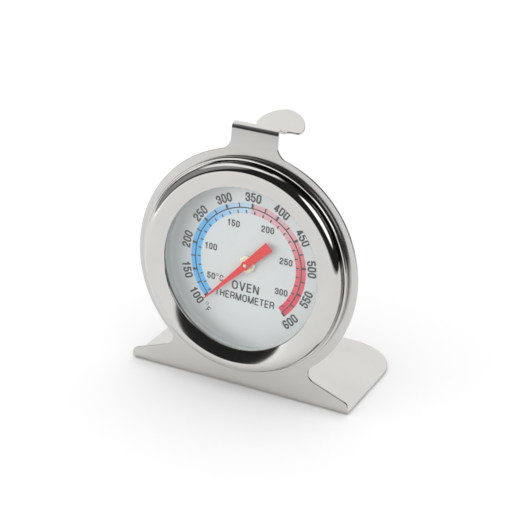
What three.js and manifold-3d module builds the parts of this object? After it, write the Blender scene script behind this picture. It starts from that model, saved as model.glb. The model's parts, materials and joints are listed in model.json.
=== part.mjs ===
// A dial oven thermometer: a bimetal movement in a round steel case, carried by
// one bent sheet-steel stand with a foot to stand on and a hook to hang by.
// Millimetres, +Z up. The dial faces -Y. The underside of the foot is z = 0, and
// the origin is the middle of the footprint.
import * as THREE from 'three';
import { mergeVertices } from 'three/addons/utils/BufferGeometryUtils.js';
import Module from 'manifold-3d';

const wasm = await Module();
wasm.setup();

// ---------------------------------------------------------------- driving dimensions
const LEAN = THREE.MathUtils.degToRad(4); // the upright plate leans back a little
const SHEET = 0.6; // stand sheet thickness
const GAP = 0.3; // assembly clearance between neighbouring pieces
const FIT = 0.1; // smaller clearance inside the movement
const RING_RADIUS = 30; // outer edge of the stand's round plate
const DIAL_HEIGHT = 32.9; // dial axis above the foot, measured up the plate
const CASE_HOLE = 23.6; // hole in the plate that the case drops into

const FOOT = { halfWidth: 30.6, depth: 38, corner: 14, bend: 1.4 };
const WING = { tipRadius: 1.9, innerX: 21.8, innerZ: 6.2, outerZ: 3.7, fillet: 2.2 };
const NECK = { halfWidth: 6.25, fillet: 3.2, top: 68.8, bend: 1.5 };
// The hook leaves the neck's top bend, falls to a valley and rises again to a lip.
const HOOK = { fall: 20, rise: 29.2, fallLength: 13.6, riseLength: 11, valleyBend: 1.3 };
// The hook's head seen from above: half widths, how far back each part lies, and
// the radius of each rounded corner.
const HOOK_HEAD = { halfWidth: 6.4, stem: 2.2, neckEnd: 1.7, taperEnd: 8, front: 13.6,
  crownStart: 15, crown: 20.2, crownPower: 1.74, crownSteps: 10, neckRound: 2, stemRound: 3,
  rootRound: 1.2, earRound: 1.35 };
const REACH = 4; // how far a cutter or an uncut strip runs past the finished edge

// Everything on the dial axis is set out by r, its radius, and ahead, its distance
// in front of the plate's front face (negative is behind it).
const BEZEL = { skirt: 26.9, skirtRear: 1.0, shoulder: 2.4, rim: 25, rimAhead: 4.24, flat: 0.6,
  drop: 0.03, window: 21, windowAhead: 3.5, sheet: 0.5 };
const CASE = { flange: 27.8, rimAhead: 1.7, wall: 23.2, shelf: -2.8, cup: 21.5, back: -9.4,
  corner: 1.6, chamfer: 0.15, sheet: 0.5 };
const LENS = { radius: 24.2, rear: 1.2, front: 2.8 };
const GASKET = { inner: 22.9, outer: 24.1, rear: 0.88, front: 1.12 };
const SPACER = { inner: 21.6, outer: 22.4, rear: -0.5, front: 0.95 };
const DIAL = { face: -2.05, sheet: 0.4, rim: 22.4, rimAhead: -0.8, fillet: 1.1, hole: 1.9 };
const POINTER = { front: -0.47, thick: 0.3, tip: 15.7, tipHalf: 0.12, tail: 8.7, tailHalf: 1.34,
  boss: 1.15, bossAhead: -0.35, hole: 0.6, restDegrees: -136 };
const SPINDLE = { radius: 0.7, nose: 0.5, noseStart: -0.85, front: -0.2, rear: -9.35 };
const BORE = 0.78; // running bore on the spindle, 0.07 clear of it all round
const FRONT_BUSH = { flange: 2.25, flangeFront: -1.45, flangeRear: -1.75, body: 1.6, rear: -3.6 };
const HUB = { radius: 1.1, front: -0.87, rear: -1.35 };
const FRONT_WASHER = { radius: 1.5, front: -3.7, rear: -3.95 };
const COLLET = { radius: 1.6, front: -4.05, rear: -7.9 };
const REAR_WASHER = { radius: 1.5, front: -8.0, rear: -8.25 };
const REAR_BUSH = { body: 1.4, front: -8.35, flange: 2.4, flangeFront: -9.7, rear: -10.1,
  boreEnd: -9.6 };
const COIL = { inner: 1.85, outer: 12.2, turns: 5, thick: 0.35, front: -4.4, rear: -7.6,
  stepsPerTurn: 20 };
const POST = { x: 13.5, radius: 0.75, front: -4.2, shank: 0.5, head: 1.2, headFront: -9.7,
  headRear: -10.1 };
const RIVET = { circle: 25.4, count: 3, shank: 0.5, frontHead: 0.8, rearHead: 1.4, headThick: 0.45,
  startDegrees: 90 };
const VENT = { circle: 16.5, radius: 1.5, count: 6, startDegrees: 30 };
const EASE = 0.1; // broken edge on the small turned pieces

const RING_STEPS = 40; // facets round the big rings
const SMALL_STEPS = 18; // facets round the small turned pieces
const HOLE_STEPS = 14; // facets round the rivets, vents and drilled holes
const FILLET_STEPS = 6; // facets in a fillet

// ---------------------------------------------------------------- solids
// Turns a closed three.js geometry into an exact solid, with its faces pointing out.
function solidOf(geometry) {
  const bare = geometry.clone();
  bare.deleteAttribute('normal');
  bare.deleteAttribute('uv');
  const merged = mergeVertices(bare, 1e-4);
  const vertices = merged.attributes.position.array;
  const corners = Array.from(merged.index.array);
  const triangles = [];
  let volume = 0;
  const a = new THREE.Vector3();
  const b = new THREE.Vector3();
  const c = new THREE.Vector3();
  for (let i = 0; i < corners.length; i += 3) {
    const [p, q, r] = corners.slice(i, i + 3);
    if (p === q || q === r || r === p) continue;
    triangles.push(p, q, r);
    a.fromArray(vertices, 3 * p);
    b.fromArray(vertices, 3 * q);
    c.fromArray(vertices, 3 * r);
    volume += a.dot(b.cross(c));
  }
  if (volume < 0) triangles.reverse();
  const mesh = new wasm.Mesh({
    numProp: 3,
    vertProperties: new Float32Array(vertices),
    triVerts: new Uint32Array(triangles),
  });
  return new wasm.Manifold(mesh);
}

// Turns a solid back into a geometry that a Mesh can hold.
function geometryOf(solid) {
  const mesh = solid.getMesh();
  const geometry = new THREE.BufferGeometry();
  const vertices = new Float32Array(mesh.vertProperties);
  geometry.setAttribute('position', new THREE.BufferAttribute(vertices, 3));
  geometry.setIndex(new THREE.BufferAttribute(new Uint32Array(mesh.triVerts), 1));
  geometry.computeVertexNormals();
  return geometry;
}

// A turned piece on the dial axis, from a closed list of [r, ahead] points.
function turned(profile, steps = SMALL_STEPS) {
  const points = profile.map(([r, ahead]) => new THREE.Vector2(r, -ahead));
  const first = points[0];
  const last = points[points.length - 1];
  if (first.x > 0 || last.x > 0) points.push(first.clone());
  return solidOf(new THREE.LatheGeometry(points, steps));
}

// A flat disc or ring between two distances ahead of the plate.
function disc(radius, front, rear, steps = SMALL_STEPS) {
  return turned([[0, front], [radius, front], [radius, rear], [0, rear]], steps);
}

function ring(inner, outer, front, rear, steps = SMALL_STEPS) {
  return turned([[inner, front], [outer, front], [outer, rear], [inner, rear]], steps);
}

function bigRing({ inner, outer, front, rear }) {
  return ring(inner, outer, front, rear, RING_STEPS);
}

// A plain ring that fits on the spindle.
function collar({ radius, front, rear }) {
  return ring(BORE, radius, front, rear);
}

// A prism: an outline in the plate's plane (x right, y up), from front to rear.
function plateSlab(shape, front, rear, steps = 12) {
  const geometry = new THREE.ExtrudeGeometry(shape, {
    depth: front - rear, bevelEnabled: false, curveSegments: steps,
  });
  geometry.rotateX(Math.PI / 2); // outline up the plate, depth towards -Y
  geometry.translate(0, -rear, 0);
  return solidOf(geometry);
}

// A point on a circle round the dial axis: degrees are clockwise from the top.
function onDial(radius, degrees) {
  const angle = THREE.MathUtils.degToRad(degrees);
  return new THREE.Vector2(radius * Math.sin(angle), radius * Math.cos(angle));
}

// ---------------------------------------------------------------- stand
// The side view of the bent sheet: a centre line as [y, z, bend radius] corners in
// the plate's own frame, where the level foot climbs by the angle of lean.
function sideView() {
  const rad = THREE.MathUtils.degToRad;
  const half = SHEET / 2;
  const corner = (from, degreesDown, length) => [
    from[0] + length * Math.cos(rad(degreesDown)), from[1] - length * Math.sin(rad(degreesDown))];
  const heel = [half, half * (1 + Math.sin(LEAN)) / Math.cos(LEAN)];
  const toe = corner(heel, -THREE.MathUtils.radToDeg(LEAN), FOOT.depth + REACH);
  const topBend = NECK.bend - half;
  // the sharp corner stands above the top of the arc that rounds it
  const overshoot = 1 / Math.tan(rad((90 - HOOK.fall) / 2)) - 1;
  const crest = [half, NECK.top - half + topBend * overshoot];
  const valley = corner(crest, HOOK.fall, HOOK.fallLength);
  const lip = corner(valley, -HOOK.rise, HOOK.riseLength);
  return [[...toe, 0], [...heel, FOOT.bend - half], [...crest, topBend],
    [...valley, HOOK.valleyBend], [...lip, 0]];
}

// Rounds the corners of a polyline with arcs, and returns its points.
function rounded(corners, arcSteps = FILLET_STEPS) {
  const points = [];
  for (let i = 0; i < corners.length; i += 1) {
    const [x, y, radius] = corners[i];
    const here = new THREE.Vector2(x, y);
    if (!radius) {
      points.push(here);
      continue;
    }
    const before = new THREE.Vector2(...corners[i - 1].slice(0, 2)).sub(here).normalize();
    const after = new THREE.Vector2(...corners[i + 1].slice(0, 2)).sub(here).normalize();
    const halfAngle = Math.acos(before.dot(after)) / 2;
    const centre = before.clone().add(after).normalize()
      .multiplyScalar(radius / Math.sin(halfAngle)).add(here);
    const tangent = radius / Math.tan(halfAngle);
    const start = here.clone().addScaledVector(before, tangent).sub(centre);
    const end = here.clone().addScaledVector(after, tangent).sub(centre);
    const sweep = Math.atan2(start.cross(end), start.dot(end));
    for (let k = 0; k <= arcSteps; k += 1) {
      const spoke = start.clone().rotateAround(new THREE.Vector2(), sweep * k / arcSteps);
      points.push(spoke.add(centre));
    }
  }
  return points;
}

// Gives a centre line its thickness: out along one side and back along the other.
function thickened(line, thickness) {
  const side = (sign) => line.map((point, i) => {
    const before = line[Math.max(i - 1, 0)];
    const after = line[Math.min(i + 1, line.length - 1)];
    const into = point.clone().sub(before).normalize();
    const out = after.clone().sub(point).normalize();
    const along = into.lengthSq() && out.lengthSq() ? into.clone().add(out) : into.add(out);
    along.normalize();
    const turn = into.lengthSq() ? Math.max(into.dot(along), 0.5) : 1;
    const offset = new THREE.Vector2(-along.y, along.x).multiplyScalar(sign * thickness / 2 / turn);
    return point.clone().add(offset);
  });
  return [...side(1), ...side(-1).reverse()];
}

// The bent sheet at full width, before its outline is cut.
function bentStrip() {
  const outline = thickened(rounded(sideView()), SHEET);
  const width = 2 * (FOOT.halfWidth + REACH);
  const geometry = new THREE.ExtrudeGeometry(new THREE.Shape(outline), {
    depth: width, bevelEnabled: false,
  });
  // the shape's x is the frame's y, its y is the frame's z, its depth is the frame's x
  const axes = new THREE.Matrix4().makeBasis(
    new THREE.Vector3(0, 1, 0), new THREE.Vector3(0, 0, 1), new THREE.Vector3(1, 0, 0));
  geometry.applyMatrix4(axes);
  geometry.translate(-width / 2, 0, 0);
  return solidOf(geometry);
}

// The plate's outline: two low wings, the round plate and the neck.
function plateOutline() {
  const wing = wingEdge();
  const neck = neckFillet();
  const right = [...wing, ...ringArc(wing[wing.length - 1], neck[0]), ...neck];
  right.push(new THREE.Vector2(NECK.halfWidth, NECK.top + REACH));
  return mirrored(right);
}

// A closed outline from its right-hand edge, listed from one end to the other.
function mirrored(right) {
  const left = right.map((p) => new THREE.Vector2(-p.x, p.y)).reverse();
  return new THREE.Shape([...right, ...left]);
}

// The fillet between the neck's straight side and the round plate.
function neckFillet() {
  const radius = NECK.fillet;
  const cx = NECK.halfWidth + radius;
  const reach = RING_RADIUS + radius;
  const cy = Math.sqrt(reach * reach - cx * cx);
  const onRing = Math.atan2(-cy, -cx); // from the fillet's centre towards the dial axis
  const points = [];
  for (let k = 0; k <= FILLET_STEPS; k += 1) {
    const angle = onRing + (-Math.PI - onRing) * k / FILLET_STEPS;
    points.push(new THREE.Vector2(cx + radius * Math.cos(angle),
      DIAL_HEIGHT + cy + radius * Math.sin(angle)));
  }
  return points;
}

// One wing, from its foot corner round the tip and up to the round plate.
function wingEdge() {
  const tipX = FOOT.halfWidth;
  const slope = (WING.innerZ - WING.outerZ) / (tipX - WING.tipRadius - WING.innerX);
  const points = rounded([
    [tipX, SHEET / 2, 0],
    [tipX, WING.outerZ - slope * WING.tipRadius, WING.tipRadius],
    [WING.innerX, WING.innerZ, 0],
  ]);
  points.pop();
  // the fillet's centre is one radius off the sloping edge and one off the round plate
  const normal = new THREE.Vector2(slope, 1).normalize();
  const start = new THREE.Vector2(WING.innerX, WING.innerZ).addScaledVector(normal, WING.fillet);
  const along = new THREE.Vector2(1, -slope).normalize();
  const centre = start.clone();
  for (let pass = 0; pass < 20; pass += 1) {
    const reach = Math.hypot(centre.x, centre.y - DIAL_HEIGHT);
    centre.addScaledVector(along, RING_RADIUS + WING.fillet - reach);
  }
  const from = Math.atan2(-normal.y, -normal.x);
  const to = Math.atan2(DIAL_HEIGHT - centre.y, -centre.x);
  const sweep = (to - from - 2 * Math.PI) % (2 * Math.PI);
  for (let k = 0; k <= FILLET_STEPS; k += 1) {
    const angle = from + sweep * k / FILLET_STEPS;
    points.push(new THREE.Vector2(centre.x + WING.fillet * Math.cos(angle),
      centre.y + WING.fillet * Math.sin(angle)));
  }
  return points;
}

// Points round the plate's edge between two points on it, anticlockwise.
function ringArc(from, to) {
  const start = Math.atan2(from.y - DIAL_HEIGHT, from.x);
  const end = Math.atan2(to.y - DIAL_HEIGHT, to.x);
  const points = [];
  for (let k = 1; k < RING_STEPS; k += 1) {
    const angle = start + (end - start) * k / RING_STEPS;
    points.push(new THREE.Vector2(RING_RADIUS * Math.cos(angle),
      DIAL_HEIGHT + RING_RADIUS * Math.sin(angle)));
  }
  return points;
}

// The foot seen from above: straight sides and two large round back corners.
function footOutline() {
  const w = FOOT.halfWidth;
  const c = FOOT.corner;
  const shape = new THREE.Shape();
  shape.moveTo(-w, -REACH);
  shape.lineTo(w, -REACH);
  shape.lineTo(w, FOOT.depth - c);
  shape.absarc(w - c, FOOT.depth - c, c, 0, Math.PI / 2, false);
  shape.absarc(-w + c, FOOT.depth - c, c, Math.PI / 2, Math.PI, false);
  return shape;
}

// The hook seen from above: a full-width start, two round notches and a broad
// half-moon head.
function hookOutline() {
  const h = HOOK_HEAD;
  const right = rounded([
    [NECK.halfWidth, -REACH, 0],
    [NECK.halfWidth, h.neckEnd, h.neckRound],
    [h.stem, h.taperEnd, h.stemRound],
    [h.stem, h.front, h.rootRound],
    [h.halfWidth, h.front, h.earRound],
    [h.halfWidth, h.crownStart, 0],
  ]);
  // The crown is a little more pointed than an ellipse, whose power would be 2.
  const power = 2 / h.crownPower;
  for (let k = 1; k < h.crownSteps; k += 1) {
    const turn = (Math.PI / 2) * (k / h.crownSteps);
    const x = h.halfWidth * Math.cos(turn) ** power;
    const back = h.crownStart + (h.crown - h.crownStart) * Math.sin(turn) ** power;
    right.push(new THREE.Vector2(x, back));
  }
  return mirrored(right);
}

// A prism that stands upright: an outline seen from above, between two heights,
// tilted about the plate's lower edge.
function uprightPrism(shape, bottom, top, tilt = 0) {
  const geometry = new THREE.ExtrudeGeometry(shape, {
    depth: top - bottom, bevelEnabled: false, curveSegments: 12,
  });
  geometry.translate(0, 0, bottom);
  geometry.rotateX(tilt);
  return solidOf(geometry);
}

// The bent sheet is cut to its outline from three sides: the plate from the front,
// the foot and the hook from above. The foot is level, so its cutter tilts.
function stand() {
  const front = plateSlab(plateOutline(), REACH, -REACH);
  const bend = FOOT.bend;
  const upright = front.trimByPlane([0, 0, 1], bend).trimByPlane([0, 0, -1], NECK.bend - NECK.top);
  const foot = uprightPrism(footOutline(), -bend, bend + FIT, LEAN);
  const hook = uprightPrism(hookOutline(), NECK.top - HOOK.fallLength, NECK.top + REACH);
  const outline = upright.add(foot).add(hook);
  return bentStrip().intersect(outline).subtract(caseHole()).subtract(rivetHoles());
}

function caseHole() {
  return disc(CASE_HOLE, REACH, -REACH, RING_STEPS).translate([0, 0, DIAL_HEIGHT]);
}

// Holes for the case's rivets, a clearance wider than their shanks.
function rivetHoles() {
  return rivetCuts().translate([0, 0, DIAL_HEIGHT]);
}

// The same three drilled holes go through the plate and the case flange.
function rivetCuts() {
  const cuts = [];
  for (let i = 0; i < RIVET.count; i += 1) {
    const at = rivetPlace(i);
    const cut = disc(RIVET.shank + GAP, GAP + CASE.sheet + FIT, -REACH, HOLE_STEPS);
    cuts.push(cut.translate([at.x, 0, at.y]));
  }
  return wasm.Manifold.union(cuts);
}

function rivetPlace(i) {
  return onDial(RIVET.circle, RIVET.startDegrees + i * 360 / RIVET.count);
}

// ---------------------------------------------------------------- case and window
// Points of a quarter turn from [r + side, ahead] to [r, ahead + rise].
function quarter(r, ahead, side, rise, steps = 5) {
  return Array.from({ length: steps + 1 }, (_, k) => {
    const angle = (Math.PI / 2) * k / steps;
    return [r + side * Math.cos(angle), ahead + rise * Math.sin(angle)];
  });
}

// Pressed ring: a skirt, a rounded shoulder and a dished face down to the window.
function bezelRing() {
  const b = BEZEL;
  const t = b.sheet;
  const side = b.skirt - b.rim;
  const rise = b.rimAhead - b.shoulder;
  const outer = [[b.skirt, b.skirtRear], ...quarter(b.rim, b.shoulder, side, rise),
    [b.rim - b.flat, b.rimAhead - b.drop], [b.window, b.windowAhead]];
  const inner = [[b.window, b.windowAhead - t], [b.rim - b.flat, b.rimAhead - b.drop - t],
    ...quarter(b.rim, b.shoulder, side - t, rise - t).reverse(), [b.skirt - t, b.skirtRear]];
  return turned([...outer, ...inner], RING_STEPS);
}

// Drawn cup: a forward rim, a flange on the plate, a shelf for the dial and a back
// with vents, drilled for the rear bush, the coil's post and the case's rivets.
function rearCase() {
  const c = CASE;
  const t = c.sheet;
  const shoulder = c.cup - c.corner;
  const deep = c.back + c.corner;
  const shell = turned([
    [c.flange - t, c.rimAhead], [c.flange, c.rimAhead - c.chamfer], [c.flange, GAP + c.chamfer],
    [c.flange - c.chamfer, GAP], [c.wall, GAP], [c.wall, c.shelf - t], [c.cup, c.shelf - t],
    ...quarter(shoulder, deep, c.corner, -c.corner, 3),
    [REAR_BUSH.body + GAP, c.back], [REAR_BUSH.body + GAP, c.back + t],
    ...quarter(shoulder, deep, c.corner - t, t - c.corner, 3).reverse(),
    [c.cup - t, c.shelf], [c.wall - t, c.shelf], [c.wall - t, GAP + t], [c.flange - t, GAP + t],
  ], RING_STEPS);
  const cuts = [rivetCuts(), backHole(POST.shank + GAP, new THREE.Vector2(POST.x, 0))];
  for (let i = 0; i < VENT.count; i += 1) {
    cuts.push(backHole(VENT.radius, onDial(VENT.circle, VENT.startDegrees + i * 360 / VENT.count)));
  }
  return shell.subtract(wasm.Manifold.union(cuts));
}

function backHole(radius, at) {
  const hole = disc(radius, CASE.back + 2 * CASE.sheet, CASE.back - CASE.sheet, HOLE_STEPS);
  return hole.translate([at.x, 0, at.y]);
}

// A flat-headed rivet through the case flange and the plate.
function caseRivet() {
  const front = GAP + CASE.sheet + GAP;
  const rear = -SHEET - GAP;
  const r = RIVET;
  return turned([
    [0, front + r.headThick], [r.frontHead, front + r.headThick], [r.frontHead, front],
    [r.shank, front], [r.shank, rear], [r.rearHead, rear], [r.rearHead, rear - r.headThick / 2],
    [r.rearHead - r.headThick, rear - r.headThick], [0, rear - r.headThick]], HOLE_STEPS);
}

// Shallow pan: the printed face, a fillet and a short upright rim.
function dialPlate() {
  const d = DIAL;
  const centre = d.rim - d.sheet - d.fillet;
  const level = d.face + d.fillet;
  const under = d.fillet + d.sheet;
  return turned([
    [d.hole, d.face], ...quarter(centre, level, d.fillet, -d.fillet, 4).reverse(),
    [d.rim - d.sheet, d.rimAhead], [d.rim, d.rimAhead],
    ...quarter(centre, level, under, -under, 4), [d.hole, d.face - d.sheet]], RING_STEPS);
}

// ---------------------------------------------------------------- movement
// Flat pointer: a straight taper from a broad tail to a fine tip, with a raised boss.
function pointerBlade() {
  const p = POINTER;
  const blade = plateSlab(new THREE.Shape([
    new THREE.Vector2(-p.tailHalf, -p.tail), new THREE.Vector2(p.tailHalf, -p.tail),
    new THREE.Vector2(p.tipHalf, p.tip), new THREE.Vector2(-p.tipHalf, p.tip),
  ]), p.front, p.front - p.thick);
  const boss = disc(p.boss, p.bossAhead, p.front - p.thick);
  return blade.add(boss).subtract(disc(p.hole, p.bossAhead + FIT, p.front - p.thick - FIT));
}

// Shaft with a thinner nose that the pointer is pressed on.
function spindleShaft() {
  const s = SPINDLE;
  return turned([[0, s.front], [s.nose - EASE, s.front], [s.nose, s.front - EASE],
    [s.nose, s.noseStart], [s.radius, s.noseStart - EASE], [s.radius, s.rear], [0, s.rear]]);
}

function frontBush() {
  const b = FRONT_BUSH;
  return turned([[BORE, b.flangeFront], [b.flange - EASE, b.flangeFront],
    [b.flange, b.flangeFront - EASE], [b.flange, b.flangeRear], [b.body, b.flangeRear],
    [b.body, b.rear], [BORE, b.rear]]);
}

// Blind bush pressed in the case's back, which takes the spindle's end.
function rearBush() {
  const b = REAR_BUSH;
  return turned([[BORE, b.front], [b.body, b.front], [b.body, b.flangeFront],
    [b.flange, b.flangeFront], [b.flange, b.rear + EASE], [b.flange - EASE, b.rear], [0, b.rear],
    [0, b.boreEnd], [BORE, b.boreEnd]]);
}

// Flat spiral strip: its inner end lies against the collet, its outer against the post.
function bimetalCoil() {
  const c = COIL;
  const steps = c.turns * c.stepsPerTurn;
  const side = (offset) => Array.from({ length: steps + 1 }, (_, k) => {
    const share = k / steps;
    const radius = c.inner + (c.outer - c.inner) * share + offset;
    return onDial(radius, 90 + 360 * c.turns * share);
  });
  const outline = [...side(c.thick), ...side(0).reverse()];
  return plateSlab(new THREE.Shape(outline), c.front, c.rear);
}

// Pin riveted through the case's back that holds the coil's outer end.
function coilPost() {
  const p = POST;
  const floor = CASE.back + CASE.sheet + FIT;
  return turned([[0, p.front], [p.radius - EASE, p.front], [p.radius, p.front - EASE],
    [p.radius, floor], [p.shank, floor], [p.shank, p.headFront], [p.head, p.headFront],
    [p.head, p.headRear + EASE], [p.head - EASE, p.headRear], [0, p.headRear]], HOLE_STEPS);
}

// ---------------------------------------------------------------- assembly
const STEEL = { color: 0xc8c6c2, roughness: 0.32, metalness: 1 };
const MATERIALS = {
  brushedSteel: STEEL,
  polishedSteel: { ...STEEL, color: 0xd8d8d6, roughness: 0.12 },
  plainSteel: { ...STEEL, color: 0xb4b4b0, roughness: 0.45 },
  glass: { color: 0xf4f8f8, roughness: 0.05, metalness: 0, transparent: true, opacity: 0.2 },
  fibre: { color: 0x8a8a84, roughness: 0.9, metalness: 0 },
  dialPaint: { color: 0xd3d8d8, roughness: 0.5, metalness: 0.1 },
  pointerPaint: { color: 0xe8484c, roughness: 0.45, metalness: 0 },
  brass: { color: 0xe6c878, roughness: 0.3, metalness: 1 },
  bimetal: { color: 0xa89c88, roughness: 0.4, metalness: 1 },
};

// One named piece, at x and z in its group's frame.
function piece(name, solid, finish, x = 0, z = 0) {
  const material = new THREE.MeshStandardMaterial(MATERIALS[finish]);
  const mesh = new THREE.Mesh(geometryOf(solid), material);
  mesh.name = name;
  mesh.position.set(x, 0, z);
  return mesh;
}

const group = new THREE.Group();

// The plate's frame leans back about the front lower edge of the plate.
const leaning = new THREE.Group();
leaning.rotation.x = -LEAN;
group.add(leaning);
leaning.add(piece('stand', stand(), 'brushedSteel'));

// The head's frame is centred on the dial axis.
const head = new THREE.Group();
head.position.z = DIAL_HEIGHT;
leaning.add(head);
head.add(
  piece('bezel_ring', bezelRing(), 'polishedSteel'),
  piece('rear_case', rearCase(), 'polishedSteel'),
  piece('lens', disc(LENS.radius, LENS.front, LENS.rear, RING_STEPS), 'glass'),
  piece('lens_gasket', bigRing(GASKET), 'fibre'),
  piece('spacer_ring', bigRing(SPACER), 'plainSteel'),
  piece('dial_plate', dialPlate(), 'dialPaint'),
  piece('front_bush', frontBush(), 'brass'),
  piece('front_washer', collar(FRONT_WASHER), 'plainSteel'),
  piece('rear_washer', collar(REAR_WASHER), 'plainSteel'),
  piece('rear_bush', rearBush(), 'brass'),
  piece('bimetal_coil', bimetalCoil(), 'bimetal'),
  piece('coil_post', coilPost(), 'plainSteel', POST.x),
);
for (let i = 0; i < RIVET.count; i += 1) {
  const at = rivetPlace(i);
  head.add(piece(`case_rivet_${i + 1}`, caseRivet(), 'plainSteel', at.x, at.y));
}

// What turns together: the spindle and the three pieces pressed on it.
const turning = new THREE.Group();
turning.rotation.y = THREE.MathUtils.degToRad(POINTER.restDegrees);
head.add(turning);
turning.add(
  piece('spindle', spindleShaft(), 'brass'),
  piece('pointer', pointerBlade(), 'pointerPaint'),
  piece('pointer_hub', collar(HUB), 'brass'),
  piece('coil_collet', collar(COLLET), 'brass'),
);

// The origin goes to the middle of the footprint.
const footprint = new THREE.Box3().setFromObject(group, true);
group.position.y = -(footprint.min.y + footprint.max.y) / 2;

export default group;
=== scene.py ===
import json
import math

import bmesh
import bpy
from mathutils import Matrix, Vector
from mathutils.geometry import delaunay_2d_cdt, tessellate_polygon

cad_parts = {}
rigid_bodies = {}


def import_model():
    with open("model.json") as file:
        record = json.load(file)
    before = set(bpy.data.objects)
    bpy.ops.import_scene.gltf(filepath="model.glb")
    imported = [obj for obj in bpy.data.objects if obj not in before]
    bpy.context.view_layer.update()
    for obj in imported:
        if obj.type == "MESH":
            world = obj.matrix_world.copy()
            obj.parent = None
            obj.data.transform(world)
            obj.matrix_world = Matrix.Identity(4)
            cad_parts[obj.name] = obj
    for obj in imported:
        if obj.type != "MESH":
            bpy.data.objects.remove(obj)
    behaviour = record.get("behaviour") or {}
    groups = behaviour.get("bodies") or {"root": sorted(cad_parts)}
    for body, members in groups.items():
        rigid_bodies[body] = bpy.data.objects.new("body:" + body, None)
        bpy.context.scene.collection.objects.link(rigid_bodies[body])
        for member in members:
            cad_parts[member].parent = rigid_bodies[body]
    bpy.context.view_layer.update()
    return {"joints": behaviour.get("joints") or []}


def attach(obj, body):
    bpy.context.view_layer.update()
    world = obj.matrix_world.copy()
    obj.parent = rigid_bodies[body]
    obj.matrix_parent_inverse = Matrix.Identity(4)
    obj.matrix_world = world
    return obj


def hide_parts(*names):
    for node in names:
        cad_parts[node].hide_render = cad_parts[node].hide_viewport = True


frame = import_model()

# A dial oven thermometer: a bent sheet-steel stand that carries a round case with
# a bezel, a window, a printed dial, and a pointer turned by a bimetal coil.
# Sizes are in millimetres here and become metres in the meshes.
MM = 0.001

# ------------------------------------------------------------ driving dimensions
SHEET = 0.6  # stand sheet thickness
SHEET_EDGE = 0.09  # rounding of the stand's cut edges
LEAN = math.radians(4)
RING_RADIUS = 30
DIAL_HEIGHT = 32.9  # dial axis above the plate's lower edge
CASE_HOLE = 23.6
GAP = 0.3

FOOT_HALF_WIDTH = 30.6
FOOT_DEPTH = 38
FOOT_CORNER = 14
FOOT_BEND = 1.4

WING_TIP_RADIUS = 1.9
WING_INNER = (21.8, 6.2)
WING_OUTER_HEIGHT = 3.7
WING_FILLET = 2.2

NECK_HALF_WIDTH = 6.25
NECK_FILLET = 3.2
NECK_TOP = 68.8
NECK_BEND = 1.5

HOOK_FALL = math.radians(20)
HOOK_RISE = math.radians(29.2)
HOOK_FALL_LENGTH = 13.6
HOOK_RISE_LENGTH = 11
HOOK_VALLEY_BEND = 1.3
HOOK_HALF_WIDTH = 6.4
HOOK_STEM = 2.2
HOOK_NECK_END = 1.7
HOOK_TAPER_END = 8
HOOK_FRONT = 13.6
HOOK_CROWN_START = 15
HOOK_CROWN = 20.2
HOOK_CROWN_POWER = 1.74  # a little less than an ellipse's 2
HOOK_NECK_ROUND = 2
HOOK_STEM_ROUND = 3
HOOK_ROOT_ROUND = 1.2
HOOK_EAR_ROUND = 1.35

RIVET_CIRCLE = 25.4
RIVET_COUNT = 3
RIVET_SHANK = 0.5
VENT_CIRCLE = 16.5
VENT_RADIUS = 1.5
VENT_COUNT = 6
FIRST_VENT = 30  # degrees clockwise from the top
POST_PLACE = 13.5  # the coil post's distance to the right of the dial axis

DIAL_FACE = -2.05  # ahead of the plate's front face; negative is behind it
POINTER_REST = math.radians(-136)
SPINDLE_BORE = 0.78

# The printed scale
SCALE_TURN = 0.74  # degrees the print sits clockwise of upright
SCALE_SWEEP = 270
SCALE_LOW, SCALE_HIGH = 100, 600
ARC_RADIUS = 14.62
ARC_WIDTH = 0.3
TICK_WIDTH = 0.34
BOLD_TICK_WIDTH = 0.58
SHORT_TICK = 0.85
BAND_INNER = 13.15
BAND_OUTER = 15.85
INK = 0.015  # thickness of a printed layer

BIG_STEPS = 192  # facets round the big rings
SMALL_STEPS = 64  # facets round the small turned pieces
BEND_STEPS = 14  # flats along each bend of the sheet
CROWN_STEPS = 30  # points along one side of the hook's crown
SHARP_ANGLE = math.radians(40)  # edges that turn more than this stay sharp

# ------------------------------------------------------------ the two CAD frames
# The dial's frame comes from the pointer's joint: x right, y back along the
# spindle, z up the dial. The plate's frame is the same, from its lower edge.
joint = frame["joints"][0]
axis = Vector(joint["axis"]).normalized()
across = Vector((1, 0, 0))
HEAD = Matrix.Translation(Vector(joint["pos_m"])) @ Matrix(
    (across, axis, across.cross(axis))).transposed().to_4x4()
PLATE = HEAD @ Matrix.Translation((0, 0, -DIAL_HEIGHT * MM))
STATIC, TURNING = joint["parent"], joint["child"]

scene = bpy.context.scene


# ------------------------------------------------------------ outlines
def polar(radius, angle):
    return Vector((radius * math.cos(angle), radius * math.sin(angle)))


def on_dial(radius, degrees):
    """A point on the dial, degrees clockwise from the top."""
    return polar(radius, math.radians(90 - degrees))


def arc(centre, radius, start, end, steps):
    """Points round an arc, both ends included."""
    centre = Vector(centre)
    return [centre + polar(radius, start + (end - start) * k / steps) for k in range(steps + 1)]


def rounded(corners, steps=10):
    """A polyline with its corners (x, y, radius) rounded by arcs."""
    points = []
    for i, (x, y, radius) in enumerate(corners):
        here = Vector((x, y))
        if not radius:
            points.append(here)
            continue
        before = (Vector(corners[i - 1][:2]) - here).normalized()
        after = (Vector(corners[i + 1][:2]) - here).normalized()
        half = before.angle(after) / 2
        centre = here + (before + after).normalized() * radius / math.sin(half)
        tangent = radius / math.tan(half)
        start = here + before * tangent - centre
        end = here + after * tangent - centre
        sweep = math.atan2(start.x * end.y - start.y * end.x, start.dot(end))
        first = math.atan2(start.y, start.x)
        points += arc(centre, radius, first, first + sweep, steps)
    return points


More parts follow.
